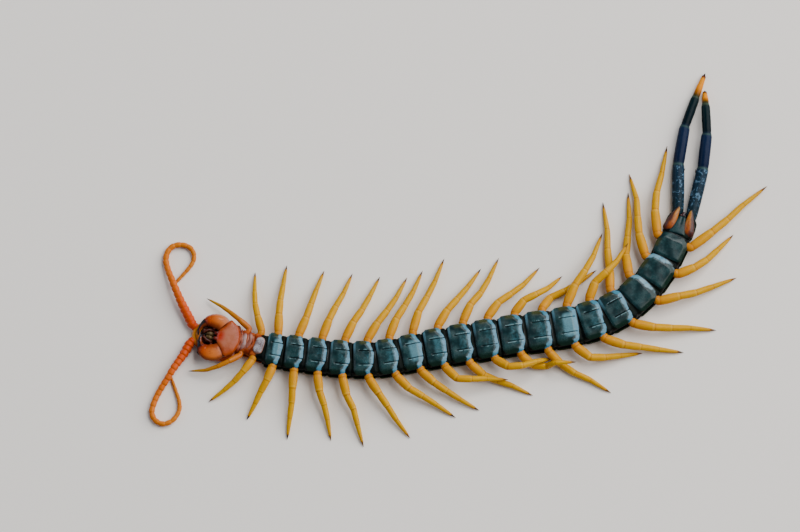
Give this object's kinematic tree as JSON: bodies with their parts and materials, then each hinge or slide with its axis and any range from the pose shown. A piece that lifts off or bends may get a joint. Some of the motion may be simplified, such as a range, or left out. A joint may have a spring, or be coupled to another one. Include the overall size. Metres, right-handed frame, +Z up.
{
  "type": "giant centipede",
  "caption": "Life-size giant centipede lying on its back, belly plates up, curved body, yellow legs spread, poison claws closed, antennae looped, dark hind legs together.",
  "frame": {"origin": "middle of the bounding box, on the floor under the animal's back", "axes": "+X along the longest extent, from the head towards the tail; +Y towards the side the tail curves to; +Z up, from the back on the floor to the belly"},
  "size_m": [0.1986, 0.1232, 0.0072],
  "materials": {
    "body_shell": "glossy dark blue-green belly plates with black skin between them, reddish first two segments",
    "head_shell": "glossy orange-brown shell, black poison fangs",
    "antenna_shell": "satin orange-red, paler to the tip",
    "eye_lens": "polished black",
    "leg_shell": "glossy yellow-orange, black claw",
    "hind_leg_shell": "glossy blue-black, orange last joints, black claw"
  },
  "bodies": {
    "root": {"antenna_left": "antenna_shell", "antenna_right": "antenna_shell", "eye_left": "eye_lens", "eye_right": "eye_lens", "forcipular_coxosternite": "head_shell", "forcipule_left": "head_shell", "forcipule_right": "head_shell", "head": "head_shell", "leg_left_01": "leg_shell", "leg_left_02": "leg_shell", "leg_left_03": "leg_shell", "leg_left_04": "leg_shell", "leg_left_05": "leg_shell", "leg_left_06": "leg_shell", "leg_left_07": "leg_shell", "leg_left_08": "leg_shell", "leg_left_09": "leg_shell", "leg_left_10": "leg_shell", "leg_left_11": "leg_shell", "leg_left_12": "leg_shell", "leg_left_13": "leg_shell", "leg_left_14": "leg_shell", "leg_left_15": "leg_shell", "leg_left_16": "leg_shell", "leg_left_17": "leg_shell", "leg_left_18": "leg_shell", "leg_left_19": "leg_shell", "leg_left_20": "leg_shell", "leg_right_01": "leg_shell", "leg_right_02": "leg_shell", "leg_right_03": "leg_shell", "leg_right_04": "leg_shell", "leg_right_05": "leg_shell", "leg_right_06": "leg_shell", "leg_right_07": "leg_shell", "leg_right_08": "leg_shell", "leg_right_09": "leg_shell", "leg_right_10": "leg_shell", "leg_right_11": "leg_shell", "leg_right_12": "leg_shell", "leg_right_13": "leg_shell", "leg_right_14": "leg_shell", "leg_right_15": "leg_shell", "leg_right_16": "leg_shell", "leg_right_17": "leg_shell", "leg_right_18": "leg_shell", "leg_right_19": "leg_shell", "leg_right_20": "leg_shell", "tail_segment": "body_shell", "trunk_01_to_03": "body_shell", "trunk_04_to_06": "body_shell", "trunk_07_to_09": "body_shell", "trunk_10_to_12": "body_shell", "trunk_13_to_15": "body_shell", "trunk_16_to_18": "body_shell", "trunk_19_to_20": "body_shell", "ultimate_leg_left": "hind_leg_shell", "ultimate_leg_right": "hind_leg_shell"}
  },
  "joints": []
}
